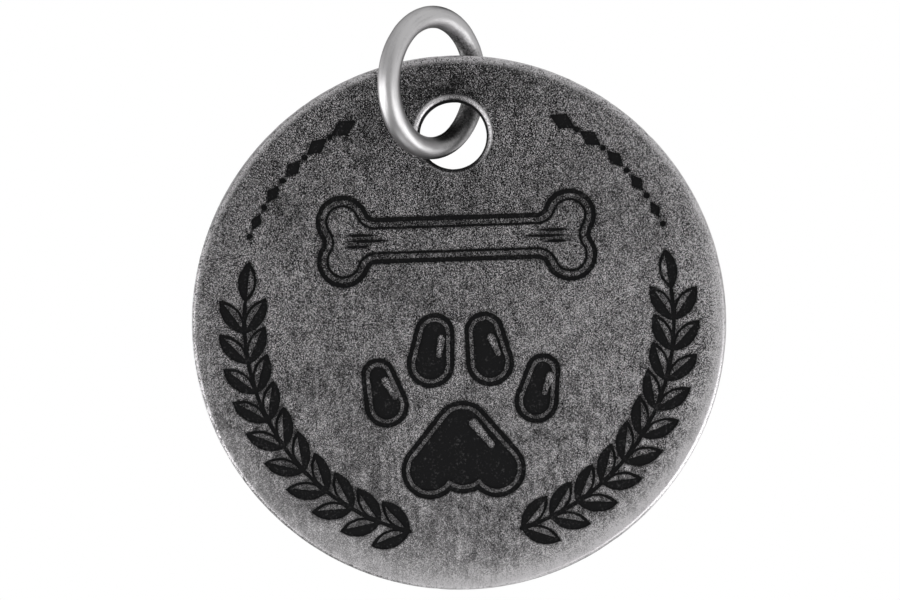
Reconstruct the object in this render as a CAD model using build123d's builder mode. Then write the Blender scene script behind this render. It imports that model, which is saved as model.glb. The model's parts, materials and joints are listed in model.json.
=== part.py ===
from build123d import *

import math
import os

# Pet id tag: a struck, engraved metal disc that hangs upright in a round-wire jump ring.
# Millimetres, +Z up, the engraved face towards -Y. The origin is where a collar's own ring would bear
# on the wire, at the top of the jump ring's opening.

# Disc
disc_diameter = 32.0
disc_thickness = 1.3
rim_rounding = 0.25

# Hole for the jump ring, and the bridge of metal left between the hole and the rim
hole_diameter = 4.0
hole_rounding = 0.38
bridge_width = 2.8

# Jump ring, cut from wire and closed with a butt seam
wire_diameter = 1.34
ring_inner_diameter = 6.5
seam_gap = 0.06
ring_lean = 5.4
ring_drop = 0.32
ring_aside = 0.1
ring_clearance = 0.085
ring_forward_share = 0.86

# Search for the ring's slant, in degrees from the disc's face, and the points tested round its wire
flattest_slant = 30.0
squarest_slant = 90.0
slant_steps = 40
wire_points = 720

# Engraved lines: one depth, two widths of line, and the bare field between the drawing and the rim
engraving_depth = 0.12
line_width = 0.28
fine_line_width = 0.15
field_margin = 1.4

# Bone, left blank for the owner to fill: size from the field, rows of line one inside the other
bone_gap = 1.0
bone_line_gap = 0.28
bone_corner_rounding = 0.5
bone_length_share = 0.575
bone_knob_share = 0.095
bone_knob_rise_share = 0.07
bone_shaft_share = 0.165
bone_stroke_lengths = (1.5, 2.7, 1.9)
bone_stroke_width = 0.2
bone_stroke_step = 0.34
bone_stroke_start = 0.1

# Paw print: circles as (across, up, radius) shares of its height, hulled in pairs into pads
paw_gap = 1.5
paw_foot_room = 3.9
pad_bare_band = 0.22
heel_top_shares = (0.0, 0.375, 0.15)
heel_middle_shares = (0.0, 0.2, 0.16)
heel_lobe_shares = (0.175, 0.165, 0.15)
inner_toe_shares = ((0.13, 0.88, 0.105), (0.155, 0.72, 0.125))
outer_toe_shares = ((0.43, 0.67, 0.09), (0.39, 0.51, 0.115))
heel_glint_shares = ((0.06, 0.405, 0.024), (0.15, 0.29, 0.016))
toe_glint_shares = ((0.035, -0.03, 0.02), (0.045, 0.045, 0.014))

# Laurel sprigs, one up each side: the stem's place, and leaves that are outlined and half filled
stem_inset = 1.75
stem_width = 0.24
sprig_foot_angle = 15.0
sprig_sweep = 82.0
leaf_pairs = 10
leaf_length = 2.5
leaf_width = 1.1
leaf_lean = 34.0
leaf_island_share = 0.68

# Strings of lozenges and dots along the rim, either side of the hole
string_inset = 1.05
string_start_angle = 29.0
string_step_angle = 8.2
lozenge_count = 5
lozenge_length = 1.75
lozenge_width = 1.0
lozenge_taper_share = 0.09
dot_diameter = 0.36

# Sizes worked out from those above
disc_radius = disc_diameter / 2
hole_radius = hole_diameter / 2
hole_rise = disc_radius - bridge_width - hole_radius
wire_radius = wire_diameter / 2
ring_inner_radius = ring_inner_diameter / 2
ring_radius = ring_inner_radius + wire_radius
bridge_rise = hole_rise + hole_radius + bridge_width / 2
ring_rise = bridge_rise - ring_drop
field_radius = disc_radius - field_margin


def ring_axes(slant):
    """Directions across and up the ring's plane at a slant from the disc's face, both leaned right."""
    turn = math.radians(slant)
    lean = math.radians(ring_lean)
    across = Vector(
        math.cos(turn) * math.cos(lean),
        math.sin(turn),
        -math.cos(turn) * math.sin(lean),
    )
    up = Vector(math.sin(lean), 0, math.cos(lean))
    return across, up


def ring_forward(slant):
    """How far the ring stands out of the hole along its own plane: a share of the room round the bridge."""
    half_height = bridge_width / 2 + ring_drop
    half_chord = math.sqrt(ring_inner_radius**2 - half_height**2)
    half_run = disc_thickness / 2 / math.sin(math.radians(slant))
    return ring_forward_share * (half_chord - half_run)


def disc_distance(point):
    """Distance from a point to the disc's rounded surface, measured from the disc's centre."""
    beyond_rim = math.hypot(point.X, point.Z) - disc_radius
    within_hole = hole_radius - math.hypot(point.X, point.Z - hole_rise)
    edge, rounding = max((beyond_rim, rim_rounding), (within_hole, hole_rounding))
    sideways = edge + rounding
    outwards = abs(point.Y) - disc_thickness / 2 + rounding
    outside = math.hypot(max(sideways, 0), max(outwards, 0))
    return outside + min(max(sideways, outwards), 0) - rounding


def wire_gap(slant):
    """Least gap between the wire and the disc at a slant."""
    across, up = ring_axes(slant)
    centre = Vector(-ring_aside, 0, ring_rise) - across * ring_forward(slant)
    gaps = []
    for step in range(wire_points):
        turn = math.tau * step / wire_points
        spoke = across * math.cos(turn) + up * math.sin(turn)
        gaps.append(disc_distance(centre + spoke * ring_radius))
    return min(gaps) - wire_radius


def resting_slant():
    """Flattest slant at which the wire still clears the hole's edges."""
    flat, square = flattest_slant, squarest_slant
    for _ in range(slant_steps):
        middle = (flat + square) / 2
        if wire_gap(middle) < ring_clearance:
            flat = middle
        else:
            square = middle
    return square


# The ring lies against the hole's edges, and crosses the disc a little to the left of the hole's middle
ring_slant = resting_slant()
across, up = ring_axes(ring_slant)
ring_centre = Vector(0, 0, -ring_inner_radius)
ring_axis = Axis(ring_centre, across.cross(up))
crossing = ring_centre + across * ring_forward(ring_slant)
disc_centre = crossing + Vector(ring_aside, 0, -ring_rise)
disc_middle = Plane(disc_centre, x_dir=(1, 0, 0), z_dir=(0, -1, 0))
disc_face = disc_middle.offset(disc_thickness / 2)

print(f"ring slant {ring_slant:.2f} degrees, gap {wire_gap(ring_slant):.3f} mm")
print(f"ring centre {ring_centre}, crossing {crossing}, disc centre {disc_centre}")


def lens_sketch(length, width):
    """Pointed lens along +X from its foot, for leaves and tapered strokes."""
    with BuildSketch(mode=Mode.PRIVATE) as lens:
        with BuildLine():
            ThreePointArc((0, 0), (length / 2, width / 2), (length, 0))
            ThreePointArc((length, 0), (length / 2, -width / 2), (0, 0))
        make_face()
    return lens.sketch


def bone_sketch(inset):
    """Bone outline, drawn in by an inset: a shaft with two knobs at each end and softened inner corners."""
    knob_radius = bone_knob_share * bone_length
    knob_rise = bone_knob_rise_share * bone_length
    with BuildSketch(mode=Mode.PRIVATE) as bone:
        Rectangle(2 * knob_out, bone_shaft_share * bone_length)
        with GridLocations(2 * knob_out, 2 * knob_rise, 2, 2):
            Circle(knob_radius)
        fillet(bone.vertices(), bone_corner_rounding)
        if inset:
            offset(amount=-inset, mode=Mode.REPLACE)
    return bone.sketch


def pad_sketch(pairs, inset):
    """One pad of the paw, drawn in by an inset: every pair of circles is hulled, and the hulls are joined."""
    with BuildSketch(mode=Mode.PRIVATE) as pad:
        for pair in pairs:
            with BuildSketch(mode=Mode.PRIVATE) as hull:
                for across_share, up_share, radius_share in pair:
                    with Locations((across_share * paw_height, up_share * paw_height)):
                        Circle(radius_share * paw_height - inset)
                make_hull()
            add(hull.sketch)
    return pad.sketch


def mirrored(circle):
    """The same circle on the other side of the paw."""
    across_share, up_share, radius_share = circle
    return (-across_share, up_share, radius_share)


# Bone and paw share the height that the hole leaves free
bone_length = 2 * bone_length_share * field_radius
bone_height = 2 * (bone_knob_share + bone_knob_rise_share) * bone_length
knob_out = (0.5 - bone_knob_share) * bone_length
bone_rise = hole_rise - hole_radius - hole_rounding - bone_gap - bone_height / 2
paw_top = bone_rise - bone_height / 2 - paw_gap
paw_bottom = paw_foot_room - field_radius
paw_height = paw_top - paw_bottom

# Pads of the paw, each with the glint left bare in its dark middle
heel = [
    (heel_top_shares, heel_lobe_shares),
    (heel_top_shares, mirrored(heel_lobe_shares)),
    (heel_top_shares, heel_middle_shares),
]
pads = [(heel, heel_glint_shares)]
for right_toe in (inner_toe_shares, outer_toe_shares):
    left_toe = [mirrored(circle) for circle in right_toe]
    for toe in (right_toe, left_toe):
        glint = []
        for (toe_across, toe_up, _), (aside, above, radius_share) in zip(toe, toe_glint_shares):
            glint.append((toe_across + aside, toe_up + above, radius_share))
        pads.append(([toe], glint))

# Leaf, along +X from its foot: one half filled, the other bare inside its outline
with BuildSketch() as leaf:
    add(lens_sketch(leaf_length, leaf_width))
    island_start = leaf_length * (1 - leaf_island_share) / 2
    island_end = leaf_length - island_start
    island_foot = fine_line_width / 2
    island_top = leaf_width / 2 - fine_line_width
    with BuildLine():
        ThreePointArc((island_start, island_foot), (leaf_length / 2, island_top), (island_end, island_foot))
        Line((island_end, island_foot), (island_start, island_foot))
    make_face(mode=Mode.SUBTRACT)

# Right-hand border: sprig from its foot up the side, then the string of lozenges
stem_radius = field_radius - stem_inset
string_radius = field_radius - string_inset
leaf_foot_angle = sprig_foot_angle - 90
with BuildSketch() as border:
    stem_arc = CenterArc((0, 0), stem_radius, leaf_foot_angle, sprig_sweep, mode=Mode.PRIVATE)
    SlotArc(stem_arc, stem_width)
    with PolarLocations(stem_radius, leaf_pairs, leaf_foot_angle, sprig_sweep):
        with Locations(Location((0, 0, 0), (0, 0, 90 - leaf_lean))):
            add(leaf.sketch)
        with Locations(Location((0, 0, 0), (0, 0, 90 + leaf_lean))):
            add(mirror(leaf.sketch, about=Plane.XZ, mode=Mode.PRIVATE))
    with Locations(Location((0, 0, 0), (0, 0, leaf_foot_angle + sprig_sweep))):
        with Locations(Location((stem_radius, 0, 0), (0, 0, 90))):
            add(leaf.sketch)
    for place in range(lozenge_count):
        angle = 90 - string_start_angle - place * string_step_angle
        size = 1 - lozenge_taper_share * place
        half_length = lozenge_length * size / 2
        half_width = lozenge_width * size / 2
        with Locations(Location((0, 0, 0), (0, 0, angle))):
            with Locations((string_radius, 0)):
                Polygon(
                    (half_width, 0),
                    (0, half_length),
                    (-half_width, 0),
                    (0, -half_length),
                )
        with Locations(Location((0, 0, 0), (0, 0, angle - string_step_angle / 2))):
            with Locations((string_radius, 0)):
                Circle(dot_diameter / 2)
    mirror(about=Plane.YZ)

# Whole drawing, about the disc's centre
with BuildSketch() as drawing:
    add(border.sketch)
    with Locations((0, bone_rise)):
        add(bone_sketch(0))
        add(bone_sketch(line_width), mode=Mode.SUBTRACT)
        add(bone_sketch(line_width + bone_line_gap))
        add(bone_sketch(line_width + bone_line_gap + fine_line_width), mode=Mode.SUBTRACT)
        for place, length in enumerate(bone_stroke_lengths):
            height = (place - (len(bone_stroke_lengths) - 1) / 2) * bone_stroke_step
            for side, turn in ((1, 180), (-1, 0)):
                with Locations(Location((side * (knob_out - bone_stroke_start), height, 0), (0, 0, turn))):
                    add(lens_sketch(length, bone_stroke_width))
    with Locations((0, paw_bottom)):
        for pairs, glint in pads:
            add(pad_sketch(pairs, 0))
            add(pad_sketch(pairs, line_width), mode=Mode.SUBTRACT)
            add(pad_sketch(pairs, line_width + pad_bare_band))
            add(pad_sketch([glint], 0), mode=Mode.SUBTRACT)

# Disc: a round blank with a pierced hole, softened edges and the drawing sunk into its face
with BuildPart() as tag_disc:
    with BuildSketch(disc_middle):
        Circle(disc_radius)
        with Locations((0, hole_rise)):
            Circle(hole_radius, mode=Mode.SUBTRACT)
    extrude(amount=disc_thickness / 2, both=True)
    edge_rounds = tag_disc.edges().filter_by(GeomType.CIRCLE).group_by(SortBy.RADIUS)
    hole_edges = edge_rounds[0]
    rim_edges = edge_rounds[-1]
    fillet(hole_edges, hole_rounding)
    fillet(rim_edges, rim_rounding)
    with BuildSketch(disc_face):
        add(drawing.sketch)
    extrude(amount=-engraving_depth, mode=Mode.SUBTRACT)

# Jump ring: round wire turned once about the ring's axis, short of a full turn by the seam
seam_angle = math.degrees(seam_gap / ring_radius)
wire_start = Plane(ring_centre + across * ring_radius, x_dir=across, z_dir=up)
with BuildPart() as jump_ring:
    with BuildSketch(wire_start):
        Circle(wire_radius)
    revolve(axis=ring_axis, revolution_arc=360 - seam_angle)

tag_disc.part.label = "tag_disc"
jump_ring.part.label = "jump_ring"

os.makedirs("parts", exist_ok=True)
export_step(tag_disc.part, "parts/tag_disc.step")
export_step(jump_ring.part, "parts/jump_ring.step")
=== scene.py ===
"""Dresses a pet id tag: an antiqued, engraved disc on a satin jump ring, in a white studio."""

import json
import math

import bmesh
import bpy
import numpy as np
from bpy.props import FloatProperty, FloatVectorProperty, IntProperty, PointerProperty
from mathutils import Matrix, Vector, noise
from mathutils.geometry import delaunay_2d_cdt
from mathutils.kdtree import KDTree


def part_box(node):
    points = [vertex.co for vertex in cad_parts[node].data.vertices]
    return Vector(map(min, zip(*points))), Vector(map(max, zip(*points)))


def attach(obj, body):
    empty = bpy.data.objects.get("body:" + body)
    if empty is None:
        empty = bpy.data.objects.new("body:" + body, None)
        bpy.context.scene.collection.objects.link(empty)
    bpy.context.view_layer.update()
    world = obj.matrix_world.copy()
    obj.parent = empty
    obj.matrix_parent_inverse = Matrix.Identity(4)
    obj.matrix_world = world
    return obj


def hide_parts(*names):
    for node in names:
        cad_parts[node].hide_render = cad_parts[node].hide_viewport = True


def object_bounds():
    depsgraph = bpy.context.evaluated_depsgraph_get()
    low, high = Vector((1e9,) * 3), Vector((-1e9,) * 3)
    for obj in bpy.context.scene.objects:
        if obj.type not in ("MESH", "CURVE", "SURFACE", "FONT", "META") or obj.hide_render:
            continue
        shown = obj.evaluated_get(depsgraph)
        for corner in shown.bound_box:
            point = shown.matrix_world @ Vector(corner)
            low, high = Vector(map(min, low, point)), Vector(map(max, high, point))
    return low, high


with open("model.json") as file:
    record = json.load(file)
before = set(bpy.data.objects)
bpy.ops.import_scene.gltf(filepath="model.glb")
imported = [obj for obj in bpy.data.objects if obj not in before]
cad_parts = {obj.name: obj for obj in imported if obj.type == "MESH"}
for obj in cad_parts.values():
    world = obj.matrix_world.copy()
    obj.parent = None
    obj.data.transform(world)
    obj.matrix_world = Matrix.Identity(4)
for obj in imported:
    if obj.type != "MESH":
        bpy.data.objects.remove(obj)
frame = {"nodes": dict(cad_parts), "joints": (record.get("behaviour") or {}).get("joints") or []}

bl_info = {
    "name": "Pet Id Tag",
    "version": (1, 0, 0),
    "blender": (4, 5, 0),
    "location": "View3D > Sidebar > Pet Tag",
    "description": "Builds an antiqued, engraved pet tag with its jump ring, and a white studio for it",
    "category": "Object",
}

MM = 0.001
CAD_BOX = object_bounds()

# Points closer than this are one point, and a face this even is flat, in metres
WELD = 1e-7

# How near the front plane a point of the disc's flat face lies, in metres
FACE_TOLERANCE = 1e-6


# What the frame says of the disc and the ring

def disc_shape():
    """Sizes of the disc in metres, read from its solid: a dictionary of plain numbers and points."""
    low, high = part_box("tag_disc")
    swivel = Vector(frame["joints"][0]["pos_m"])
    points = np.array([vertex.co for vertex in frame["nodes"]["tag_disc"].data.vertices])
    centre = Vector(((low.x + high.x) / 2, (low.y + high.y) / 2, (low.z + high.z) / 2))
    from_hole = np.hypot(points[:, 0] - centre.x, points[:, 2] - swivel.z)
    from_centre = np.hypot(points[:, 0] - centre.x, points[:, 2] - centre.z)
    on_face = points[:, 1] < low.y + FACE_TOLERANCE
    return {
        "centre": centre,
        "radius": (high.x - low.x) / 2,
        "front": low.y,
        "back": high.y,
        "hole_rise": swivel.z - centre.z,
        "hole_radius": float(from_hole.min()),
        "lip_radius": float(from_hole[on_face].min()),
        "flat_radius": float(from_centre[on_face].max()),
    }


def ring_shape():
    """Sizes of the jump ring in metres, from its solid, its axis, and the ways up and back in its plane."""
    low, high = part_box("jump_ring")
    centre = (low + high) / 2
    points = np.array([vertex.co for vertex in frame["nodes"]["jump_ring"].data.vertices]) - np.array(centre)
    axis = Vector(np.linalg.svd(points, full_matrices=False)[2][2])
    if axis.x < 0:
        axis.negate()
    up = Vector((0, 1, 0)).cross(axis).normalized()
    if up.z < 0:
        up.negate()
    back = up.cross(axis)
    heights = points @ np.array(axis)
    spokes = np.sqrt((points**2).sum(1) - heights**2)
    wire = float(np.abs(heights).max())
    return {
        "centre": centre,
        "axis": axis,
        "up": up,
        "back": back,
        "wire_radius": wire,
        "radius": float(spokes.max()) - wire,
    }


DISC = disc_shape()
RING = ring_shape()


# Sizes and colours that a user would change

class TagDiscSettings(bpy.types.PropertyGroup):
    """Engraved disc."""

    outline_step: FloatProperty(
        name="Outline Step", description="Spacing of points along the engraved lines",
        default=0.07 * MM, precision=6, unit="LENGTH",
    )
    grain_step: FloatProperty(
        name="Face Step", description="Spacing of points over the face",
        default=0.26 * MM, precision=6, unit="LENGTH",
    )
    line_wander: FloatProperty(
        name="Line Wander", description="How far a cut line's edge strays",
        default=0.028 * MM, precision=6, unit="LENGTH",
    )
    line_wave: FloatProperty(
        name="Line Wave", description="Length of the strays along a line",
        default=0.3 * MM, precision=6, unit="LENGTH",
    )
    rim_steps: IntProperty(name="Rim Steps", description="Points round the rim", default=720, min=64)
    hole_steps: IntProperty(name="Hole Steps", description="Points round the hole", default=240, min=32)
    round_steps: IntProperty(name="Rounding Steps", description="Rows over a rounded edge", default=7, min=2)
    nick_depth: FloatProperty(
        name="Nick Depth", description="Depth of the tumbling nicks in the rim",
        default=0.025 * MM, precision=6, unit="LENGTH",
    )
    # Also the colour of the painted highlights on the rim and the lip
    worn_and_highlight_silver: FloatVectorProperty(
        name="Worn And Highlight Silver", description="Metal where the patina is rubbed off",
        subtype="COLOR", size=4, default=(0.81, 0.79, 0.805, 1), min=0, max=1,
    )
    # Also the dark of the painted shade above the hole
    patina: FloatVectorProperty(
        name="Patina", description="Dark patina left in the grain",
        subtype="COLOR", size=4, default=(0.012, 0.012, 0.0125, 1), min=0, max=1,
    )
    oxide: FloatVectorProperty(
        name="Oxide", description="Floor of the engraved lines",
        subtype="COLOR", size=4, default=(0.022, 0.022, 0.023, 1), min=0, max=1,
    )


class JumpRingSettings(bpy.types.PropertyGroup):
    """Jump ring."""

    turn_steps: IntProperty(name="Turn Steps", description="Points round the ring", default=320, min=32)
    wire_steps: IntProperty(name="Wire Steps", description="Points round the wire", default=40, min=8)
    seam_gap: FloatProperty(
        name="Seam Gap", description="Gap between the wire's two ends",
        default=0.06 * MM, precision=6, unit="LENGTH",
    )
    end_rounding: FloatProperty(
        name="End Rounding", description="Rounding of the cut ends",
        default=0.09 * MM, precision=6, unit="LENGTH",
    )
    seam_step: FloatProperty(
        name="Seam Step", description="How far the two ends stand out of line",
        default=0.05 * MM, precision=6, unit="LENGTH",
    )
    steel: FloatVectorProperty(
        name="Steel", description="Satin wire",
        subtype="COLOR", size=4, default=(0.664, 0.654, 0.66, 1), min=0, max=1,
    )
    # Colour of the darker speckle and of the painted shade on the wire
    tarnish_and_shade: FloatVectorProperty(
        name="Tarnish And Shade", description="Dull patches on the wire",
        subtype="COLOR", size=4, default=(0.12, 0.12, 0.12, 1), min=0, max=1,
    )
    # Colour of the painted shade down the sides of the wire in the hole
    painted_hole_shade: FloatVectorProperty(
        name="Hole Shade", description="Dark sides of the wire where it passes through the hole",
        subtype="COLOR", size=4, default=(0.015, 0.015, 0.015, 1), min=0, max=1,
    )


class StudioSettings(bpy.types.PropertyGroup):
    """Floor, light and camera."""

    camera_distance: FloatProperty(
        name="Camera Distance", description="From the lens to the disc's face", default=0.3, unit="LENGTH",
    )
    frame_width: FloatProperty(
        name="Frame Width", description="Width of the picture at the disc's face",
        default=53.86 * MM, precision=5, unit="LENGTH",
    )
    camera_roll: FloatProperty(
        name="Camera Roll", description="Turn of the picture to the tag",
        default=math.radians(1.8), unit="ROTATION",
    )
    aim_right: FloatProperty(
        name="Aim Right", description="Picture's middle, right of the disc's centre",
        default=-0.545 * MM, precision=6, unit="LENGTH",
    )
    aim_up: FloatProperty(
        name="Aim Up", description="Picture's middle, above the disc's centre",
        default=1.351 * MM, precision=6, unit="LENGTH",
    )
    floor_drop: FloatProperty(
        name="Floor Drop", description="From the tag down to the floor", default=22 * MM, unit="LENGTH",
    )
    floor_reach: FloatProperty(
        name="Floor Reach", description="Radius at which the floor has faded out",
        default=32 * MM, unit="LENGTH",
    )
    room: FloatProperty(name="Room Light", description="Light from the room", default=1.0, min=0)
    softbox: FloatProperty(name="Softbox", description="Brightness of the softboxes", default=1.5, min=0)


# Shader writing

class Value:
    """A shader value. Sums on it add Math nodes to its finish."""

    def __init__(self, finish, socket):
        self.finish = finish
        self.socket = socket

    def __add__(self, other):
        return self.finish.maths("ADD", self, other)

    def __radd__(self, other):
        return self.finish.maths("ADD", other, self)

    def __sub__(self, other):
        return self.finish.maths("SUBTRACT", self, other)

    def __rsub__(self, other):
        return self.finish.maths("SUBTRACT", other, self)

    def __mul__(self, other):
        return self.finish.maths("MULTIPLY", self, other)

    def __rmul__(self, other):
        return self.finish.maths("MULTIPLY", other, self)

    def __truediv__(self, other):
        return self.finish.maths("DIVIDE", self, other)

    def __rtruediv__(self, other):
        return self.finish.maths("DIVIDE", other, self)

    def __pow__(self, other):
        return self.finish.maths("POWER", self, other)

    def __rpow__(self, other):
        return self.finish.maths("POWER", other, self)


class Finish:
    """A node tree under construction, for a material or the world."""

    def __init__(self, tree):
        self.tree = tree
        tree.nodes.clear()

    def add(self, kind, settings=None, sockets=None, output=0):
        """One node: its settings, then the values or links of its sockets. Gives one of its outputs."""
        node = self.tree.nodes.new(kind)
        for name, value in (settings or {}).items():
            if name == "stops":
                for place, (position, colour) in enumerate(value):
                    elements = node.color_ramp.elements
                    stop = elements[place] if place < len(elements) else elements.new(position)
                    stop.position = position
                    stop.color = colour
            else:
                setattr(node, name, value)
        for name, value in (sockets or {}).items():
            if isinstance(value, Value):
                self.tree.links.new(value.socket, node.inputs[name])
            else:
                node.inputs[name].default_value = value
        return Value(self, node.outputs[output]) if len(node.outputs) else node

    def maths(self, operation, first, second=0.0):
        return self.add("ShaderNodeMath", {"operation": operation}, {0: first, 1: second})

    def length(self, first, second):
        """Length of the diagonal over two sides."""
        return self.maths("SQRT", first**2.0 + second**2.0)

    def limit(self, value):
        """Keeps a value between 0 and 1."""
        return self.maths("MINIMUM", self.maths("MAXIMUM", value, 0.0), 1.0)

    def ease(self, value, start, end, low=0.0, high=1.0):
        """Goes smoothly from low to high as the value goes from start to end."""
        return self.add(
            "ShaderNodeMapRange",
            {"interpolation_type": "SMOOTHSTEP"},
            {"Value": value, "From Min": start, "From Max": end, "To Min": low, "To Max": high},
        )

    def blend(self, share, first, second):
        """Mixes two colours."""
        return self.add("ShaderNodeMix", {"data_type": "RGBA"}, {0: share, 6: first, 7: second}, 2)

    def grain(self, place, scale, detail, roughness):
        """Noise from 0 to 1, with its middle at a half, at a place."""
        return self.add(
            "ShaderNodeTexNoise", None,
            {"Vector": place, "Scale": scale, "Detail": detail, "Roughness": roughness},
        )

    def vector(self, operation, first, second, output="Vector"):
        return self.add("ShaderNodeVectorMath", {"operation": operation}, {0: first, 1: second}, output)

    def turned(self, place, angles):
        """A place turned about its three axes."""
        return self.add("ShaderNodeMapping", None, {"Vector": place, "Rotation": angles})

    def parts(self, place):
        """X, Y and Z of a vector, as values."""
        split = self.add("ShaderNodeSeparateXYZ", None, {0: place}).socket.node
        return [Value(self, socket) for socket in split.outputs]

    def place_mm(self, centre):
        """Place on the piece, in millimetres from a point of it."""
        coordinates = self.add("ShaderNodeTexCoord", output="Object")
        offset = self.vector("SUBTRACT", coordinates, tuple(centre))
        return self.vector("MULTIPLY", offset, (1 / MM,) * 3)

    def ray(self, *kinds):
        """1 for a ray of any of these kinds, and 0 for the rest."""
        rays = self.add("ShaderNodeLightPath").socket.node
        found = Value(self, rays.outputs[kinds[0]])
        for kind in kinds[1:]:
            found = self.maths("MAXIMUM", found, Value(self, rays.outputs[kind]))
        return found


def new_material(name):
    material = bpy.data.materials.new(name)
    material.use_nodes = True
    return material, Finish(material.node_tree)


def close_metal(finish, height, strength, depth, sockets):
    """Ends a finish in one metal shader with these sockets and a bump of that height, strength and depth."""
    bump = finish.add("ShaderNodeBump", None, {"Strength": strength, "Distance": depth, "Height": height})
    surface = finish.add("ShaderNodeBsdfPrincipled", None, {"Metallic": 1.0, "Normal": bump, **sockets})
    finish.add("ShaderNodeOutputMaterial", None, {"Surface": surface})


# Closed skins

class Shell:
    """Faces of one closed skin, gathered by position and welded at the end."""

    def __init__(self):
        self.points = []
        self.faces = []

    def face(self, *corners):
        start = len(self.points)
        self.points.extend(corners)
        self.faces.append(tuple(range(start, start + len(corners))))

    def band(self, first, second):
        """Quads between two closed rows of points."""
        for quad in zip(first, first[1:] + first[:1], second[1:] + second[:1], second):
            self.face(*quad)

    def mesh(self, name, sharp_angle):
        """The welded skin, smooth but for edges sharper than the angle."""
        mesh = bpy.data.meshes.new(name)
        mesh.from_pydata(self.points, [], self.faces)
        skin = bmesh.new()
        skin.from_mesh(mesh)
        bmesh.ops.remove_doubles(skin, verts=skin.verts, dist=WELD)
        bmesh.ops.recalc_face_normals(skin, faces=skin.faces)
        skin.to_mesh(mesh)
        skin.free()
        mesh.shade_smooth()
        mesh.set_sharp_from_angle(angle=sharp_angle)
        return mesh


def place_piece(name, mesh, material, body, node):
    """Puts a dressed piece where its CAD node is, in that node's stead."""
    piece = bpy.data.objects.new(name, mesh)
    bpy.context.scene.collection.objects.link(piece)
    mesh.materials.append(material)
    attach(piece, body)
    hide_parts(node)


# Shape of the engraved disc. A flat point is (x, z) in metres from the disc's centre

LINE_SEED = 7
FACE_SEED = 11
DISC_SHARP = math.radians(40)

# A flat face between these depths is an engraved floor
FLOOR_DEPTHS = (0.02 * MM, 0.35 * MM)

# Height of a row of face points and their disorder, as shares of their spacing
ROW_SHARE = 0.866
DISORDER_SHARE = 0.25

# Points closer than this are one in the triangulation, in millimetres
MERGE_MM = 1e-6

# A triangle whose corners are all within this share of the lip's radius lies in the hole
HOLE_MARGIN = 1.001

# Nicks: waves in a millimetre, the level that they start from, and their share of the depth
NICKS = ((1.7, 0.15, 1.0), (5.0, 0.0, 0.35))


def engraved_floors(solid):
    """Faces of the solid that are engraved floors, by index."""
    near, far = (DISC["front"] + depth for depth in FLOOR_DEPTHS)
    floors = {}
    for face in solid.faces:
        heights = [vertex.co.y for vertex in face.verts]
        if near < min(heights) and max(heights) < far and max(heights) - min(heights) < WELD:
            floors[face.index] = face
    return floors


def engraved_outlines():
    """Closed outlines of the engraved floors, as lists of flat points, and the floors' depth."""
    solid = bmesh.new()
    solid.from_mesh(frame["nodes"]["tag_disc"].data)
    bmesh.ops.remove_doubles(solid, verts=solid.verts, dist=WELD)
    solid.verts.index_update()
    solid.faces.index_update()
    floors = engraved_floors(solid)
    depth = max(vertex.co.y for face in floors.values() for vertex in face.verts) - DISC["front"]
    beside = {}
    for face in floors.values():
        for edge in face.edges:
            if sum(1 for other in edge.link_faces if other.index in floors) == 1:
                for first, second in (edge.verts, reversed(edge.verts)):
                    beside.setdefault(first, []).append(second)
    outlines = []
    left = set(beside)
    while left:
        outline = []
        previous = None
        current = min(left, key=lambda vertex: vertex.index)
        while current is not None:
            left.discard(current)
            outline.append((current.co.x - DISC["centre"].x, current.co.z - DISC["centre"].z))
            onward = [vertex for vertex in beside[current] if vertex is not previous and vertex in left]
            previous, current = current, onward[0] if onward else None
        outlines.append(outline)
    solid.free()
    return outlines, depth


def hand_cut(outline, settings):
    """An outline with evenly close points, straying a little as a cut line does."""
    points = []
    for (x, z), (next_x, next_z) in zip(outline, outline[1:] + outline[:1]):
        pieces = max(1, round(math.hypot(next_x - x, next_z - z) / settings.outline_step))
        for piece in range(pieces):
            share = piece / pieces
            points.append((x + (next_x - x) * share, z + (next_z - z) * share))
    noise.seed_set(LINE_SEED)
    cut = []
    for x, z in points:
        stray = noise.noise_vector(Vector((x, 0, z)) / settings.line_wave) * settings.line_wander
        cut.append((x + stray.x, z + stray.z))
    return cut


def circle(radius, steps, rise=0.0):
    """Flat points of a circle, its centre at a rise above the disc's."""
    turns = [math.tau * step / steps for step in range(steps)]
    return [(radius * math.cos(turn), rise + radius * math.sin(turn)) for turn in turns]


def flat_tree(points):
    """A tree that finds the nearest of some flat points."""
    tree = KDTree(len(points))
    for index, (x, z) in enumerate(points):
        tree.insert((x, 0, z), index)
    tree.balance()
    return tree


def scattered(settings, taken):
    """Flat points spread over the face, clear of the points already taken."""
    step = settings.grain_step
    draw = np.random.default_rng(FACE_SEED)
    tree = flat_tree(taken)
    points = []
    rows = int(DISC["flat_radius"] / (step * ROW_SHARE)) + 1
    for row in range(-rows, rows + 1):
        for column in range(-rows, rows + 1):
            jitter = draw.uniform(-DISORDER_SHARE, DISORDER_SHARE, 2) * step
            x = (column + 0.5 * (row % 2)) * step + jitter[0]
            z = row * ROW_SHARE * step + jitter[1]
            inside = math.hypot(x, z) < DISC["flat_radius"] - step / 2
            outside_hole = math.hypot(x, z - DISC["hole_rise"]) > DISC["lip_radius"] + step / 2
            if inside and outside_hole and tree.find((x, 0, z))[2] > step / 3:
                points.append((x, z))
    return points


def triangulate(loops, loose=()):
    """Triangles over closed loops and loose flat points, with every side of the loops kept as an edge.

    Gives the points in millimetres, the edges, the triangles, and the loop sides that each edge lies on.
    """
    flat = []
    fences = []
    for loop in loops:
        start = len(flat)
        flat.extend(loop)
        for index in range(len(loop)):
            fences.append((start + index, start + (index + 1) % len(loop)))
    flat.extend(loose)
    plane = [Vector(point) / MM for point in flat]
    points, edges, triangles, _, edge_sources, _ = delaunay_2d_cdt(plane, fences, [], 0, MERGE_MM)
    return points, edges, triangles, edge_sources


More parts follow.
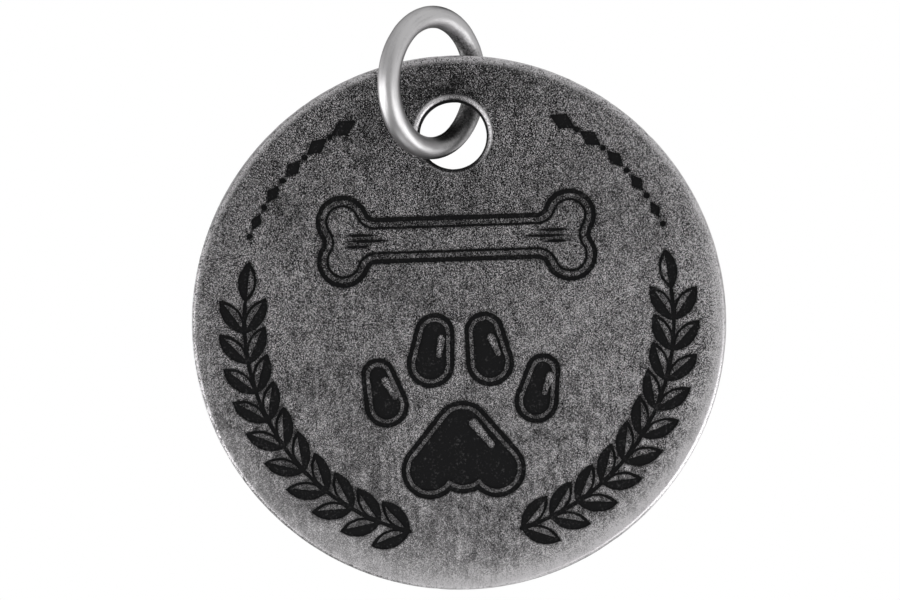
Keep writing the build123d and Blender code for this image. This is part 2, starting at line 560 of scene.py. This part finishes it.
def sides_of(corners):
    """Sides of a triangle as pairs of point numbers, lower first."""
    return [(min(pair), max(pair)) for pair in zip(corners, corners[1:] + corners[:1])]


def find_floors(points, triangles, cut_sides):
    """True for each engraved triangle. From the rim on, each cut crossed turns land to floor or back."""
    touching = {}
    for index, corners in enumerate(triangles):
        for side in sides_of(corners):
            touching.setdefault(side, []).append(index)
    reaches = [sum(points[corner].length for corner in corners) for corners in triangles]
    start = reaches.index(max(reaches))
    floor = {start: False}
    waiting = [start]
    while waiting:
        index = waiting.pop()
        for side in sides_of(triangles[index]):
            for other in touching[side]:
                if other not in floor:
                    floor[other] = floor[index] != (side in cut_sides)
                    waiting.append(other)
    return floor


def spans_hole(corners):
    """True for a triangle inside the hole, whose corners are all on the hole's outline."""
    reach = max(math.hypot(corner.x * MM, corner.y * MM - DISC["hole_rise"]) for corner in corners)
    return reach < DISC["lip_radius"] * HOLE_MARGIN


def fill_face(outlines, rim, hole, settings):
    """Triangles of the engraved face, each with True where it is an engraved floor."""
    loops = outlines + [rim, hole]
    taken = [point for loop in loops for point in loop]
    points, edges, triangles, edge_sources = triangulate(loops, scattered(settings, taken))
    cut_count = sum(len(outline) for outline in outlines)
    cut_sides = set()
    for edge, sources in zip(edges, edge_sources):
        if any(source < cut_count for source in sources):
            cut_sides.add((min(edge), max(edge)))
    floor = find_floors(points, triangles, cut_sides)
    filled = []
    for index, corners in enumerate(triangles):
        corners = [points[corner] for corner in corners]
        if not spans_hole(corners):
            filled.append(([corner * MM for corner in corners], floor[index]))
    return filled


def on_disc(point, height):
    """A flat point at a height across the disc's thickness, as a place in the frame."""
    return (DISC["centre"].x + point[0], height, DISC["centre"].z + point[1])


def nick_at(spot):
    """Share of the nicks' depth at a place in millimetres."""
    return sum(share * max(0.0, noise.noise(spot * waves) - level) for waves, level, share in NICKS)


def rounded_edge(shell, flat_radius, edge_radius, steps, rise, settings):
    """Skin of the rim or the hole from front to back, rounded at both faces and nicked between them."""
    rounding = abs(edge_radius - flat_radius)
    outward = math.copysign(1, edge_radius - flat_radius)
    profile = []
    for row in range(settings.round_steps + 1):
        turn = math.pi / 2 * row / settings.round_steps
        profile.append((flat_radius + outward * rounding * math.sin(turn), rounding * (1 - math.cos(turn))))
    rows = [(reach, DISC["front"] + sink) for reach, sink in profile]
    rows.extend((reach, DISC["back"] - sink) for reach, sink in reversed(profile))
    rings = []
    for place, (reach, height) in enumerate(rows):
        at_face = place in (0, len(rows) - 1)
        ring = []
        for x, z in circle(reach, steps, rise):
            spot = Vector((x, height - DISC["front"], z)) / MM
            nick = 0.0 if at_face else nick_at(spot)
            pull = 1 - outward * nick * settings.nick_depth / reach
            ring.append(on_disc((x * pull, rise + (z - rise) * pull), height))
        rings.append(ring)
    for first, second in zip(rings, rings[1:]):
        shell.band(first, second)


def mark_cuts(mesh, outlines, depth):
    """Stores at each point its millimetres from the nearest cut line, negative below the face."""
    tree = flat_tree([point for outline in outlines for point in outline])
    values = []
    for vertex in mesh.vertices:
        place = vertex.co - DISC["centre"]
        distance = tree.find((place.x, 0, place.z))[2] / MM
        sunk = vertex.co.y - DISC["front"]
        values.append(-distance if sunk > depth / 2 else distance)
    marks = mesh.attributes.new("cut_distance", "FLOAT", "POINT")
    marks.data.foreach_set("value", values)


def disc_mesh(settings):
    """The whole disc: engraved face, grooves, rounded and nicked rim, hole and plain back."""
    outlines, depth = engraved_outlines()
    outlines = [hand_cut(outline, settings) for outline in outlines]
    land, floor = DISC["front"], DISC["front"] + depth
    rim = circle(DISC["flat_radius"], settings.rim_steps)
    hole = circle(DISC["lip_radius"], settings.hole_steps, DISC["hole_rise"])

    shell = Shell()
    for corners, is_floor in fill_face(outlines, rim, hole, settings):
        shell.face(*[on_disc(corner, floor if is_floor else land) for corner in corners])
    for outline in outlines:
        shell.band([on_disc(point, land) for point in outline], [on_disc(point, floor) for point in outline])
    rounded_edge(shell, DISC["flat_radius"], DISC["radius"], settings.rim_steps, 0.0, settings)
    rounded_edge(
        shell, DISC["lip_radius"], DISC["hole_radius"], settings.hole_steps, DISC["hole_rise"], settings
    )
    points, _, triangles, _ = triangulate([rim, hole])
    for corners in triangles:
        corners = [points[corner] for corner in corners]
        if not spans_hole(corners):
            shell.face(*[on_disc(corner * MM, DISC["back"]) for corner in corners])

    mesh = shell.mesh("tag_disc_dressed", DISC_SHARP)
    mark_cuts(mesh, outlines, depth)
    return mesh


# Finish of the engraved disc, in millimetres

# Darkest place of the patina and painted shade, above the hole's centre, and middle of the burnished lip
# with its painted highlights, from that centre
DARKEST_RISE = 2.7
LIP_ASIDE, LIP_RISE = -0.04, 0.07

# Lower part by the rise from the centre, and lower corners by the ways from the darkest place and across
LOWER_PART = (2.0, -10.0)
LOWER_RIGHT = (22.0, 38.0)
LOWER_LEFT = (26.0, 38.0)

# Bands inwards from the rim: where a change starts, and where it is whole
PALE_RIM = (2.1, 0.3)
PALE_LOWER_RIM = (4.5, 1.2)
PALE_CORNER = (1.1, 0.25)
PALEST_CORNER = (1.0, 0.3)
# Burnished band and very edge of the rim, with painted highlights on them
RIM_POLISH_AND_HIGHLIGHT = (0.5, 0.28)
EDGE_POLISH_AND_HIGHLIGHT = (0.16, 0.05)
SMOOTH_EDGE = (0.24, 0.1)

# How pale the face is at the darkest place, and what each millimetre from it and to the right adds
PALE_LEAST = 0.003
PALE_GAIN = 0.0165
PALE_BEND = 0.00031
PALE_RIGHT = 0.0026

# The rim pales by the way from the darkest place and by the rise, and the grain softens by the rise
PALER_FAR = (14.0, 28.0)
PALER_LOW = (-5.0, -13.0)
SOFTER_LOW = (-2.0, -12.0)

# Palest that the face is, and the level of wear at which it is all silver
PALEST = 0.6
ALL_SILVER = 0.78

# Bands outwards from the lip of the hole, and by the rise from the hole's centre
LIP_POLISH_AND_HIGHLIGHT = (0.03, -0.05)
DARK_BORE = (-0.2, -0.28)
LIP_TOP = (-1.5, 2.0)

# Bands below the face, and away from a cut line
DARK_GROOVE = (0.02, 0.05)
FRONT_ONLY = (0.3, 0.2)
STAIN = (0.15, -0.01)

# Painted highlights on the lip: clock angle in degrees, and cosines of the angles where they start and are
# whole
LIP_GLINTS = ((-62, 0.45), (75, 0.35))
GLINT_WHOLE = 0.97

# Noises: waves in a millimetre, detail and roughness
CLOUDS = (0.22, 3.0, 0.55)
FINE_GRAIN = (18.0, 1.0, 0.5)
SPECKS = (7.5, 2.0, 0.7)
MOTTLE = (1.5, 3.0, 0.55)
BRUSHED = (1.0, 4.0, 0.65)
SCRATCHED = (1.0, 1.0, 0.5)

# Turn of the grain in radians, and waves of the upright brush marks across, through and along them
GRAIN_TURN = (0.6, 0.5, 0.9)
BRUSH_WAVES = (3.2, 1.0, 0.5)

# Scratches: slant in degrees, waves across and along them, and the level that leaves only a few
SCRATCHES = ((-40, 7.0, 1.1, 0.64), (8, 4.0, 0.14, 0.7))
SCRATCH_EDGE = 0.08

# Strength of the bump, and its depth in metres
DISC_BUMP = (0.4, 0.02 * MM)


class DiscPlace:
    """Where a point of the disc lies, in millimetres, as shader values."""

    def __init__(self, finish):
        self.place = finish.place_mm((DISC["centre"].x, DISC["front"], DISC["centre"].z))
        self.across, self.sunk, self.rise = finish.parts(self.place)
        self.above_hole = self.rise - DISC["hole_rise"] / MM
        self.inward = DISC["radius"] / MM - finish.length(self.across, self.rise)
        self.from_hole = finish.length(self.across, self.above_hole)
        self.from_lip = finish.length(self.across - LIP_ASIDE, self.above_hole - LIP_RISE)
        self.from_darkest = finish.length(self.across, self.above_hole - DARKEST_RISE)
        self.low = finish.ease(self.rise, *LOWER_PART)
        self.lower_right = finish.ease(self.across + self.from_darkest, *LOWER_RIGHT)
        self.lower_left = finish.ease(self.from_darkest - self.across, *LOWER_LEFT)


class DiscMarks:
    """Marks of tumbling and handling, as shader values: clouds and grain about 0, the rest from 0 up."""

    def __init__(self, finish, disc):
        turned = finish.turned(disc.place, GRAIN_TURN)
        self.clouds = finish.grain(disc.place, *CLOUDS) - 0.5
        self.specks = finish.grain(turned, *SPECKS)
        self.mottle = finish.grain(turned, *MOTTLE)
        self.brushed = finish.grain(finish.vector("MULTIPLY", disc.place, BRUSH_WAVES), *BRUSHED)
        self.scratches = 0.0
        for slant, waves_across, waves_along, level in SCRATCHES:
            slanted = finish.turned(disc.place, (0, math.radians(slant), 0))
            drawn_out = finish.vector("MULTIPLY", slanted, (waves_across, 1.0, waves_along))
            scratch = finish.ease(finish.grain(drawn_out, *SCRATCHED), level, level + SCRATCH_EDGE)
            self.scratches = scratch + self.scratches
        fine = (finish.grain(turned, *FINE_GRAIN) - 0.5) * finish.ease(self.clouds, -0.2, 0.2, 1.3, 2.1)
        grain = fine * (1 - disc.low * 0.25) + (self.specks - 0.5) * 0.5
        grain = grain + (self.mottle - 0.5) * (0.3 + disc.low * 0.12)
        self.grain = grain + (self.brushed - 0.5) * (0.22 + disc.low * 0.2)


def silver_wear_and_painted_shade(finish, disc, marks):
    """Share of the face in silver, partly patina wear and partly painted shade: least above the hole, more
    outwards and to the right, in grains.
    """
    pale = PALE_LEAST + disc.from_darkest * (PALE_GAIN - disc.from_darkest * PALE_BEND)
    pale = (pale + disc.across * PALE_RIGHT) * (1 + marks.clouds * 0.9)
    for band, gain in (
        (PALE_RIM, finish.ease(disc.from_darkest, *PALER_FAR, 1.1, 1.7)),
        (PALE_LOWER_RIM, finish.ease(disc.rise, *PALER_LOW, 1.0, 1.5)),
        (PALE_CORNER, 1 + disc.lower_right * 0.9),
    ):
        pale = pale * finish.ease(disc.inward, *band, 1.0, gain)
    palest = PALEST + disc.lower_right * finish.ease(disc.inward, *PALEST_CORNER) * 0.23
    pale = finish.maths("MINIMUM", pale, palest)
    contrast = finish.ease(disc.rise, *SOFTER_LOW, 0.305, 0.27) * pale / (pale + 0.025)
    contrast = contrast * (1 + disc.lower_right * 0.7)
    worn = pale + (math.e ** (marks.grain * 4.5) - 1.05) * contrast + marks.scratches * 0.06
    return finish.limit(worn / ALL_SILVER)


def rim_wear_and_highlight(finish, disc, marks):
    """Burnished rim with painted highlights: a band, narrower in the lower corners and dullest at the lower
    left, and the very edge.
    """
    rubbing_and_highlight = 0.82 + disc.lower_right * 0.15 - disc.lower_left * 0.3 + marks.grain * 2.8
    narrowing = disc.lower_right * 0.16 + disc.lower_left * 0.1
    band = finish.ease(disc.inward + narrowing + marks.grain * 0.6, *RIM_POLISH_AND_HIGHLIGHT) * rubbing_and_highlight
    edge = finish.ease(disc.inward, *EDGE_POLISH_AND_HIGHLIGHT) * (0.9 - disc.lower_left * 0.3 + marks.grain * 0.9)
    return finish.maths("MAXIMUM", band, edge)


def lip_wear_and_highlights(finish, disc, marks):
    """Burnished lip of the hole with painted highlights: faint all round, and bright in two places."""
    rubbing_and_highlight = finish.ease(disc.above_hole, *LIP_TOP, 0.22, 0.34)
    for clock, fade in LIP_GLINTS:
        aside, above = math.sin(math.radians(clock)), math.cos(math.radians(clock))
        towards = (disc.across * aside + disc.above_hole * above) / disc.from_hole
        rubbing_and_highlight = finish.ease(towards, fade, GLINT_WHOLE, 0.0, 0.95) + rubbing_and_highlight
    start, whole = (DISC["lip_radius"] / MM + reach for reach in LIP_POLISH_AND_HIGHLIGHT)
    lip = finish.ease(disc.from_lip + marks.grain * 0.25, start, whole)
    return lip * rubbing_and_highlight * (0.95 + marks.grain * 2.0)


def antique_silver(settings):
    """Tumbled silver: patina dark about the hole and worn outwards, partly painted shade; edges burnished
    bright, partly painted highlights; and oxide in grooves.
    """
    material, finish = new_material("antique_silver_dressed")
    silver, patina, oxide = tuple(settings.worn_and_highlight_silver), tuple(settings.patina), tuple(settings.oxide)
    disc = DiscPlace(finish)
    marks = DiscMarks(finish, disc)
    # Silver over the patina: wear and painted shade across the face, burnish and painted highlights on the
    # rim and the lip
    polish_and_highlight = finish.maths("MAXIMUM", rim_wear_and_highlight(finish, disc, marks), lip_wear_and_highlights(finish, disc, marks))
    colour = finish.blend(silver_wear_and_painted_shade(finish, disc, marks), patina, silver)
    colour = finish.blend(polish_and_highlight, colour, silver)

    # Oxide in the grooves and inside the hole, and a stain beside the grooves
    cut = finish.add("ShaderNodeAttribute", {"attribute_name": "cut_distance"}, None, "Fac")
    stain = finish.ease(cut + (marks.specks - 0.5) * 0.14, *STAIN)
    front_only = finish.ease(disc.sunk, *FRONT_ONLY)
    groove = finish.ease(disc.sunk, *DARK_GROOVE) * front_only * (1 - polish_and_highlight)
    start, whole = (DISC["lip_radius"] / MM + reach for reach in DARK_BORE)
    bore = finish.ease((disc.from_hole + disc.from_lip) * 0.5, start, whole)
    dark = finish.maths("MAXIMUM", groove, bore)
    worn_floor = finish.ease(marks.specks + marks.mottle * 0.5, 0.8, 1.1) * 0.1
    colour = finish.blend(stain * front_only * (1 - polish_and_highlight) * 0.6, colour, patina)
    colour = finish.blend(dark, colour, finish.blend(worn_floor, oxide, silver))

    smooth_edge = finish.ease(disc.inward, *SMOOTH_EDGE) * (1 - disc.lower_left)
    roughness = 0.46 - polish_and_highlight * 0.12 - smooth_edge * 0.1 + dark * 0.25 + (marks.mottle - 0.5) * 0.12
    height = marks.specks * 0.7 + marks.mottle * 0.5 + marks.brushed * 0.3 - marks.scratches * 0.3
    height = height * (1 - polish_and_highlight * 0.7)
    close_metal(finish, height, *DISC_BUMP, {"Base Color": colour, "Roughness": roughness})
    return material


# Jump ring

# Rows over a rounded end, and how far along the ring, in radians, the ends come back into line
END_STEPS = 6
SEAM_REACH = 0.12

# Dents: waves in a millimetre, the level that they start from, and their depth
DENT_WAVES = 0.9
DENT_LEVEL = 0.1
DENT_DEPTH = 0.02 * MM

RING_SHARP = math.radians(60)

# Noises: waves in a millimetre, detail and roughness
WIRE_CLOUDS = (0.6, 3.0, 0.55)
WIRE_SPECKS = (7.0, 2.0, 0.65)
WIRE_SCUFFS = (1.0, 4.0, 0.65)

# Waves of the draw marks along the wire, in a radian, and across it
DRAWN_ALONG = 2.2
DRAWN_ACROSS = 5.0

# Bands of the finish in millimetres from the ring's centre: the wire in the hole, by the ways up and back
HOLE_UP = (-1.5, -2.8)
HOLE_BACK = (-1.0, 0.8)

# The top, with less painted shade, by the way up, and the painted shade on the outer edge, by the way back
LESS_SHADE_TOP = (-0.5, 1.5)
EDGE_SHADE_BACK = (-1.4, 0.6)

# Bands across the wire, from -1 at the outside of the ring to 1 within its loop
OUTER_SIDE = (-0.5, -0.9)
OUTER_EDGE = (-0.5, -0.95)
INNER_SIDE = (0.15, 0.8)

# Levels of the painted shade mask between which the darker colour comes in
SHADE_BAND = (1.1, 3.1)

# Strength of the bump, its depth in metres, and tint of the metal's edge
WIRE_BUMP = (0.2, 0.01 * MM)
WIRE_TINT = (0.3, 0.3, 0.3, 1)


def wire_turns(settings):
    """Angles along the wire from one cut end to the other, with shares of the way over a rounded end."""
    half_gap = settings.seam_gap / 2 / RING["radius"]
    end_turn = settings.end_rounding / RING["radius"]
    end = []
    for step in range(END_STEPS + 1):
        turn = half_gap + end_turn * (1 - math.cos(math.pi / 2 * step / END_STEPS))
        end.append((turn, step / END_STEPS))
    first, last = end[-1][0], math.tau - end[-1][0]
    turns = list(end)
    for step in range(1, settings.turn_steps):
        turns.append((first + (last - first) * step / settings.turn_steps, 1.0))
    turns.extend((math.tau - turn, share) for turn, share in reversed(end))
    return turns


def wire_row(turn, share, settings):
    """Points round the wire at one angle: dented, narrower over a rounded end, out of line at the seam."""
    inset = settings.end_rounding * (1 - math.sin(math.acos(1 - share)))
    spoke = RING["back"] * math.cos(turn) + RING["up"] * math.sin(turn)
    lean = settings.seam_step / 2 * math.exp(-((min(turn, math.tau - turn) / SEAM_REACH) ** 2))
    lean = lean if turn < math.pi else -lean
    row = []
    for step in range(settings.wire_steps):
        around = math.tau * step / settings.wire_steps
        direction = spoke * math.cos(around) + RING["axis"] * math.sin(around)
        spot = (spoke * RING["radius"] + direction * RING["wire_radius"]) / MM
        dent = max(0.0, noise.noise(spot * DENT_WAVES) - DENT_LEVEL) * DENT_DEPTH
        reach = RING["wire_radius"] - inset - dent
        point = RING["centre"] + spoke * RING["radius"] + direction * reach + RING["axis"] * lean
        row.append(tuple(point))
    return row


def ring_mesh(settings):
    """One turn of round wire with rounded cut ends that meet at a narrow seam."""
    rows = [wire_row(turn, share, settings) for turn, share in wire_turns(settings)]
    shell = Shell()
    for before, after in zip(rows, rows[1:]):
        shell.band(before, after)
    shell.face(*rows[0])
    shell.face(*rows[-1])
    return shell.mesh("jump_ring_dressed", RING_SHARP)


def satin_wire(settings):
    """Tumbled steel wire: satin in front, with painted shade and darker speckle within the loop and behind,
    and painted shade down its sides in the hole.
    """
    material, finish = new_material("satin_wire_dressed")
    place = finish.place_mm(RING["centre"])
    backward, upward, sideways = (
        finish.vector("DOT_PRODUCT", place, tuple(RING[way]), "Value") for way in ("back", "up", "axis")
    )
    spoke = finish.length(backward, upward)
    inside = (RING["radius"] / MM - spoke) / (RING["wire_radius"] / MM)
    clouds = finish.grain(place, *WIRE_CLOUDS) - 0.5
    specks = finish.grain(place, *WIRE_SPECKS)

    # Draw marks run along the wire, and their angle jumps only at the seam
    turn = finish.maths("ARCTAN2", upward * -1.0, backward * -1.0)
    drawn = {0: turn * DRAWN_ALONG, 1: spoke * DRAWN_ACROSS, 2: sideways * DRAWN_ACROSS}
    scuffs = finish.grain(finish.add("ShaderNodeCombineXYZ", None, drawn), *WIRE_SCUFFS)

    # In the hole the wire gets painted shade down its sides, and less painted shade along its middle, as a
    # painted highlight
    in_hole = finish.ease(upward, *HOLE_UP) * finish.ease(backward, *HOLE_BACK)
    sides = finish.maths("MAXIMUM", finish.ease(inside, *OUTER_SIDE), finish.ease(inside, *INNER_SIDE))
    painted_hole_shade = in_hole * sides

    # Painted shade lies within the loop and behind, and less at the top, with darker speckle through it
    shaded = backward - upward * 0.35 + inside * (1.8 + upward * 0.35) + clouds * 2.0
    shaded = finish.ease(shaded - finish.ease(upward, *LESS_SHADE_TOP) * 0.55, *SHADE_BAND)
    shaded = shaded * (1 - in_hole * (1 - sides) * 0.7)
    dull_and_shade = shaded * (0.8 + (specks - 0.5) * 1.6) + (specks - 0.5) * 0.3
    dull_and_shade = dull_and_shade + (scuffs - 0.5) * 0.8 + clouds * 0.3
    # Painted shade on the outer edge of the wire, towards the back
    dull_and_shade = dull_and_shade + finish.ease(inside, *OUTER_EDGE) * finish.ease(backward, *EDGE_SHADE_BACK) * 0.9
    colour = finish.blend(finish.limit(dull_and_shade), tuple(settings.steel), tuple(settings.tarnish_and_shade))
    # Painted shade down the sides of the wire in the hole
    colour = finish.blend(painted_hole_shade * 0.9, colour, tuple(settings.painted_hole_shade))
    roughness = 0.37 + shaded * 0.04 + painted_hole_shade * 0.35 + (scuffs - 0.5) * 0.25
    sockets = {"Base Color": colour, "Roughness": roughness, "Specular Tint": WIRE_TINT}
    close_metal(finish, specks + scuffs * 0.6, *WIRE_BUMP, sockets)
    return material


# Studio

WHITE = (1, 1, 1, 1)
PAPER = (0.9, 0.9, 0.9, 1)

# Brightness of the room by height, from straight down at -1 to straight up at 1
ROOM_LEVELS = (
    (-1.0, 0.14), (-0.84, 0.2), (-0.5, 0.58), (0.0, 0.58), (0.44, 0.52), (0.76, 0.6), (1.0, 0.62),
)

# Cosine of the angle from straight behind at which the mirrored backdrop starts, and is whole
BACKDROP = (0.95, 0.985)

# Shares of the floor's reach at which it starts to fade and is gone, and of white in what is seen of it
FLOOR_FADE = (0.45, 0.98)
FLOOR_GLOW = 0.5

# Softboxes: name, place from the disc's centre, width and height in metres, and share of the brightness
SOFTBOXES = (
    ("left_softbox", (-0.334, -0.09, -0.095), 0.62, 0.25, 1.0),
    ("right_softbox", (0.26, -0.15, -0.16), 0.42, 0.22, 0.97),
)

# Camera's sensor in millimetres, and the nearest that it sees in metres
SENSOR_WIDTH = 36.0
CLIP_START = 0.01


def room_light(finish, across, away, rise):
    """Grey of the room by direction: dim far below and by the camera, dark low behind, brighter beside."""
    stops = [((height + 1) / 2, (level, level, level, 1)) for height, level in ROOM_LEVELS]
    room = finish.add("ShaderNodeValToRGB", {"stops": stops}, {"Fac": rise * 0.5 + 0.5})
    room = room * (1 + across * finish.ease(rise, -0.2, 0.3, 0.0, 0.28))
    # Patches of the room, each from where it starts to where it is whole along a unit direction
    low_behind = finish.ease(away, -0.05, 0.5) * finish.ease(rise, 0.2, -0.25)
    low_behind = low_behind * finish.ease(across, -0.5, -0.15) * finish.ease(across, 0.45, 0.2)
    left_behind = finish.ease(across, -0.5, -0.75) * finish.ease(rise, 0.55, 0.3)
    right_below = finish.ease(across, 0.35, 0.6) * finish.ease(rise, -0.2, -0.5)
    beside = (left_behind * 0.7 + right_below * 1.3) * finish.ease(away, -0.1, 0.25)
    by_camera = finish.ease(away, -0.75, -0.97)
    return room * (1 - low_behind * 0.93) * (1 + beside) * (1 - by_camera * 0.28)


def studio_world(settings):
    """White background for the camera, with a mirrored backdrop and a grey room that light the metal."""
    world = bpy.data.worlds.new("studio")
    world.use_nodes = True
    finish = Finish(world.node_tree)
    across, away, rise = finish.parts(finish.add("ShaderNodeTexCoord", output="Generated"))
    room = room_light(finish, across, away, rise) * settings.room
    mirrored = finish.ray("Is Glossy Ray", "Is Transmission Ray") * finish.ease(away, *BACKDROP)
    seen = finish.maths("MAXIMUM", finish.ray("Is Camera Ray"), mirrored)
    strength = room + seen * (1 - room)
    background = finish.add("ShaderNodeBackground", None, {"Color": WHITE, "Strength": strength})
    finish.add("ShaderNodeOutputWorld", None, {"Surface": background})
    bpy.context.scene.world = world


def pale_floor(settings):
    """A pale floor below the tag that keeps its shadow and fades out into the white background."""
    middle = DISC["centre"]
    mesh = bpy.data.meshes.new("floor")
    half, height = settings.floor_reach, CAD_BOX[0].z - settings.floor_drop
    corners = [(-half, -half), (half, -half), (half, half), (-half, half)]
    mesh.from_pydata([(middle.x + x, middle.y + y, height) for x, y in corners], [], [(0, 1, 2, 3)])
    floor = bpy.data.objects.new("floor", mesh)
    bpy.context.scene.collection.objects.link(floor)
    material, finish = new_material("pale_floor")
    across, along, _ = finish.parts(finish.place_mm((middle.x, middle.y, height)))
    reach = finish.length(across, along) * (MM / settings.floor_reach)
    seen = finish.ray("Is Camera Ray", "Is Glossy Ray", "Is Transmission Ray")
    paper = finish.add("ShaderNodeBsdfDiffuse", None, {"Color": PAPER})
    white = finish.add("ShaderNodeEmission", None, {"Color": WHITE, "Strength": 1.0})
    lit = finish.add("ShaderNodeMixShader", None, {0: seen * FLOOR_GLOW, 1: paper, 2: white})
    clear = finish.add("ShaderNodeBsdfTransparent")
    fade = finish.ease(reach, *FLOOR_FADE)
    surface = finish.add("ShaderNodeMixShader", None, {0: fade, 1: lit, 2: clear})
    finish.add("ShaderNodeOutputMaterial", None, {"Surface": surface})
    mesh.materials.append(material)


def softbox(name, offset, width, height, radiance):
    """An area lamp that looks at the disc, as bright as a surface of that radiance."""
    lamp = bpy.data.lights.new(name, "AREA")
    lamp.shape = "RECTANGLE"
    lamp.size, lamp.size_y = width, height
    lamp.energy = radiance * math.pi * width * height
    box = bpy.data.objects.new(name, lamp)
    bpy.context.scene.collection.objects.link(box)
    box.location = DISC["centre"] + Vector(offset)
    box.rotation_euler = Vector(offset).to_track_quat("Z", "Y").to_euler()


def photo_camera(settings):
    """Square-on camera, rolled a little, with the disc where the picture has it."""
    right = Vector((math.cos(settings.camera_roll), 0, -math.sin(settings.camera_roll)))
    up = Vector((math.sin(settings.camera_roll), 0, math.cos(settings.camera_roll)))
    back = Vector((0, -1, 0))
    face = Vector((DISC["centre"].x, DISC["front"], DISC["centre"].z))
    aim = face + right * settings.aim_right + up * settings.aim_up
    camera = bpy.data.cameras.new("photo_camera")
    camera.sensor_width = SENSOR_WIDTH
    camera.lens = SENSOR_WIDTH * settings.camera_distance / settings.frame_width
    camera.clip_start = CLIP_START
    holder = bpy.data.objects.new("photo_camera", camera)
    bpy.context.scene.collection.objects.link(holder)
    turn = Matrix((right, up, back)).transposed().to_4x4()
    holder.matrix_world = Matrix.Translation(aim + back * settings.camera_distance) @ turn
    bpy.context.scene.camera = holder


# Operators, panel and registration

class PET_TAG_OT_disc(bpy.types.Operator):
    """Builds the engraved disc in place of its solid"""

    bl_idname = "pet_tag.disc"
    bl_label = "Engraved Disc"

    def execute(self, context):
        settings = context.scene.pet_tag_disc
        mesh, material = disc_mesh(settings), antique_silver(settings)
        place_piece("engraved_disc", mesh, material, "tag", "tag_disc")
        return {"FINISHED"}


class PET_TAG_OT_ring(bpy.types.Operator):
    """Builds the jump ring in place of its solid"""

    bl_idname = "pet_tag.ring"
    bl_label = "Jump Ring"

    def execute(self, context):
        settings = context.scene.pet_tag_ring
        mesh, material = ring_mesh(settings), satin_wire(settings)
        place_piece("wire_ring", mesh, material, "ring", "jump_ring")
        return {"FINISHED"}


class PET_TAG_OT_studio(bpy.types.Operator):
    """Builds the floor, light and camera"""

    bl_idname = "pet_tag.studio"
    bl_label = "White Studio"

    def execute(self, context):
        settings = context.scene.pet_tag_studio
        context.scene.view_settings.view_transform = "Standard"
        studio_world(settings)
        pale_floor(settings)
        for name, offset, width, height, share in SOFTBOXES:
            softbox(name, offset, width, height, settings.softbox * share)
        photo_camera(settings)
        return {"FINISHED"}


class PET_TAG_PT_panel(bpy.types.Panel):
    """Lists the tag's settings and builders"""

    bl_label = "Pet Tag"
    bl_space_type = "VIEW_3D"
    bl_region_type = "UI"
    bl_category = "Pet Tag"

    def draw(self, context):
        for settings, operator in (
            (context.scene.pet_tag_disc, PET_TAG_OT_disc),
            (context.scene.pet_tag_ring, PET_TAG_OT_ring),
            (context.scene.pet_tag_studio, PET_TAG_OT_studio),
        ):
            box = self.layout.box()
            for name in settings.__annotations__:
                box.prop(settings, name)
            box.operator(operator.bl_idname)


CLASSES = (
    TagDiscSettings,
    JumpRingSettings,
    StudioSettings,
    PET_TAG_OT_disc,
    PET_TAG_OT_ring,
    PET_TAG_OT_studio,
    PET_TAG_PT_panel,
)


def register():
    for entry in CLASSES:
        bpy.utils.register_class(entry)
    bpy.types.Scene.pet_tag_disc = PointerProperty(type=TagDiscSettings)
    bpy.types.Scene.pet_tag_ring = PointerProperty(type=JumpRingSettings)
    bpy.types.Scene.pet_tag_studio = PointerProperty(type=StudioSettings)


def unregister():
    del bpy.types.Scene.pet_tag_studio
    del bpy.types.Scene.pet_tag_ring
    del bpy.types.Scene.pet_tag_disc
    for entry in reversed(CLASSES):
        bpy.utils.unregister_class(entry)


def main():
    register()
    bpy.ops.pet_tag.disc()
    bpy.ops.pet_tag.ring()
    bpy.ops.pet_tag.studio()


if __name__ == "__main__":
    main()
